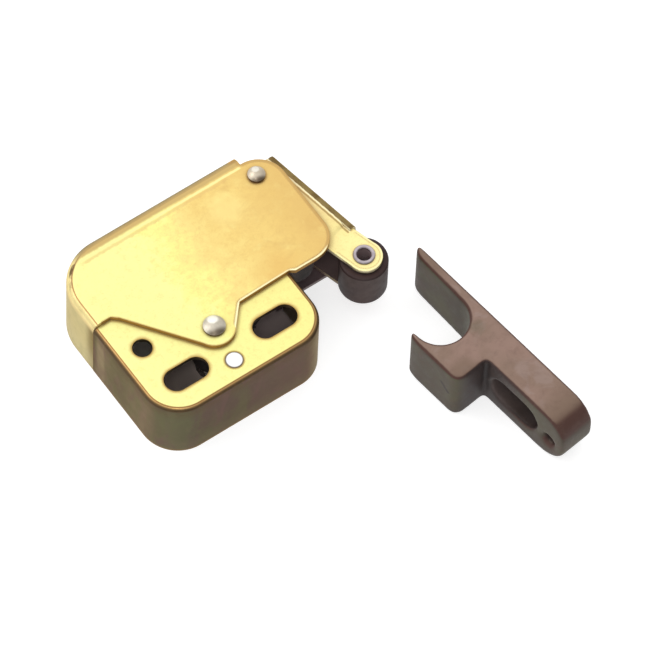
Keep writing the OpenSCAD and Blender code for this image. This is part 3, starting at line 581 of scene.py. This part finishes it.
def rolled(name, source, body, width, mat, steps=3, shape=None, clamp=True):
    """A copy of a pressed CAD node whose sheared edges are broken."""
    me = nodes[source].data.copy()
    me.name = name
    bm = bmesh.new()
    bm.from_mesh(me)
    if shape:
        for v in bm.verts:
            shape(v)
    bmesh.ops.remove_doubles(bm, verts=bm.verts, dist=1.5e-6)
    bmesh.ops.dissolve_limit(bm, angle_limit=math.radians(0.4), verts=bm.verts, edges=bm.edges)
    for f in bm.faces:
        f.smooth = True
    bm.to_mesh(me)
    bm.free()
    me.attributes.remove(me.attributes["custom_normal"]) if "custom_normal" in me.attributes else None
    o = bpy.data.objects.new(name, me)
    bpy.context.scene.collection.objects.link(o)
    b = o.modifiers.new("edge", "BEVEL")
    b.width = width
    b.segments = steps
    b.limit_method = "ANGLE"
    b.angle_limit = math.radians(40)
    b.use_clamp_overlap = clamp
    b.harden_normals = True
    b.miter_outer = "MITER_ARC"
    done = baked(o)
    done.materials.clear()
    done.materials.append(mat)
    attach(o, body)
    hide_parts(source)
    return o


rolled("cover_skin", "cover", "case", 0.2 * MM, LOOKS["cover"])
rolled("base_skin", "base_shell", "case", 0.14 * MM, LOOKS["base_shell"])
# the arm's outline has edges far shorter than the bevel, which would clamp it to nothing
rolled("arm_skin", "arm", "arm_body", 0.12 * MM, LOOKS["arm"], shape=run_out, clamp=False)
rolled("plate_skin", "floor_plate", "case", 0.12 * MM, LOOKS["floor_plate"])


# ---------------------------------------------------------------- moulded strike
def softened(name, source, voxel, passes, keep, mat):
    """A copy of a moulded CAD node with its edges rounded over."""
    me = nodes[source].data.copy()
    o = bpy.data.objects.new(name, me)
    bpy.context.scene.collection.objects.link(o)
    bm = bmesh.new()
    bm.from_mesh(me)
    bmesh.ops.remove_doubles(bm, verts=bm.verts, dist=2e-6)
    bm.to_mesh(me)
    bm.free()
    m = o.modifiers.new("remesh", "REMESH")
    m.mode = "VOXEL"
    m.voxel_size = voxel
    m.use_smooth_shade = True
    s = o.modifiers.new("smooth", "SMOOTH")
    s.factor = 0.5
    s.iterations = passes
    d = o.modifiers.new("lean", "DECIMATE")
    d.ratio = keep
    done = baked(o)
    done.materials.clear()
    done.materials.append(mat)
    for f in done.polygons:
        f.use_smooth = True
    return o


strike = softened("strike_body", "strike", 0.00018, 90, 0.4, strike_mat)


def dent(o, at, along, across, inward, long, wide, deep):
    """Press a small oval mark into a surface of the strike, in its own axes."""
    ax = Matrix(((SX[0], -SX[1], 0), (SX[1], SX[0], 0), (0, 0, 1)))
    c = ax @ Vector(at) + Vector((42.1, -14.1, 0))
    e1, e2, n = ax @ Vector(along), ax @ Vector(across), ax @ Vector(inward)
    for v in o.data.vertices:
        d = v.co / MM - c
        if abs(d.dot(n)) < 0.6:
            r = (d.dot(e1) / long) ** 2 + (d.dot(e2) / wide) ** 2
            if r < 1:
                v.co += n * (deep * MM * (1 - r) ** 1.5)


dent(strike, (-3.71, -5.79, 12.8), (0, 1, 0), (1, 0, 0), (0, 0, -1), 1.3, 0.9, 0.14)
dent(strike, (-14.1, -8.65, 7.1), (0, 0.74, 0.67), (0, -0.67, 0.74), (1, 0, 0), 1.7, 0.5, 0.28)
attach(strike, "case")
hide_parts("strike")

# ---------------------------------------------------------------- stage
me = bpy.data.meshes.new("floor")
bm = bmesh.new()
bmesh.ops.create_grid(bm, x_segments=4, y_segments=4, size=1.5)
bm.to_mesh(me)
bm.free()
floor = bpy.data.objects.new("floor", me)
floor.location = (0, 0, -0.00003)
bpy.context.scene.collection.objects.link(floor)
p = Paint("floor_paper")
floor_tone = p.mix(p.noise(6, 2), (0.50, 0.50, 0.50), (0.53, 0.53, 0.53))
me.materials.append(p.out(floor_tone, 0.9, 0.0, 0.2))
p.b.inputs["Emission Color"].default_value = (1, 1, 1, 1)
p.b.inputs["Emission Strength"].default_value = 0.68

world = bpy.data.worlds.new("studio")
bpy.context.scene.world = world
world.use_nodes = True
wt = world.node_tree
bg = wt.nodes["Background"]
tc = wt.nodes.new("ShaderNodeTexCoord")
lean = wt.nodes.new("ShaderNodeVectorMath")
lean.operation = "DOT_PRODUCT"
wt.links.new(tc.outputs["Generated"], lean.inputs[0])
lean.inputs[1].default_value = (0.05, 0.55, 0.83)
mr = wt.nodes.new("ShaderNodeMapRange")
mr.inputs["From Min"].default_value = -0.45
mr.inputs["From Max"].default_value = 0.85
mr.inputs["To Min"].default_value = 0.18
mr.inputs["To Max"].default_value = 1.15
wt.links.new(lean.outputs["Value"], mr.inputs["Value"])
wt.links.new(mr.outputs["Result"], bg.inputs["Strength"])
bg.inputs["Color"].default_value = (1, 1, 1, 1)


def area(name, at, to, size, watts, tint=(1, 1, 1)):
    d = bpy.data.lights.new(name, "AREA")
    d.shape = "DISK"
    d.size = size
    d.energy = watts
    d.color = tint
    o = bpy.data.objects.new(name, d)
    o.location = at
    o.rotation_euler = (Vector(to) - Vector(at)).to_track_quat("-Z", "Y").to_euler()
    bpy.context.scene.collection.objects.link(o)


area("key", (-0.55, 0.75, 1.05), (0.01, 0.0, 0.0), 1.0, 3.6)
area("fill", (-0.40, -0.53, 1.15), (0.02, 0.0, 0.0), 0.4, 2.0)

# ---------------------------------------------------------------- camera
cam = bpy.data.cameras.new("camera")
cam.sensor_width = 36.0
cam.sensor_fit = "AUTO"
cam.lens = 508.3
cam.clip_start = 0.05
cam.clip_end = 20.0
cam_o = bpy.data.objects.new("camera", cam)
right = Vector((0.8192, -0.5731, 0.0240))
back = Vector((-0.3017, -0.3949, 0.8678)).normalized()
right = (right - back * right.dot(back)).normalized()
up = back.cross(right)
rot = Matrix((right, up, back)).transposed()
cam_o.matrix_world = Matrix.Translation((-0.4731, -0.6463, 1.4223)) @ rot.to_4x4()
bpy.context.scene.collection.objects.link(cam_o)
bpy.context.scene.camera = cam_o
bpy.context.scene.view_settings.view_transform = "Standard"
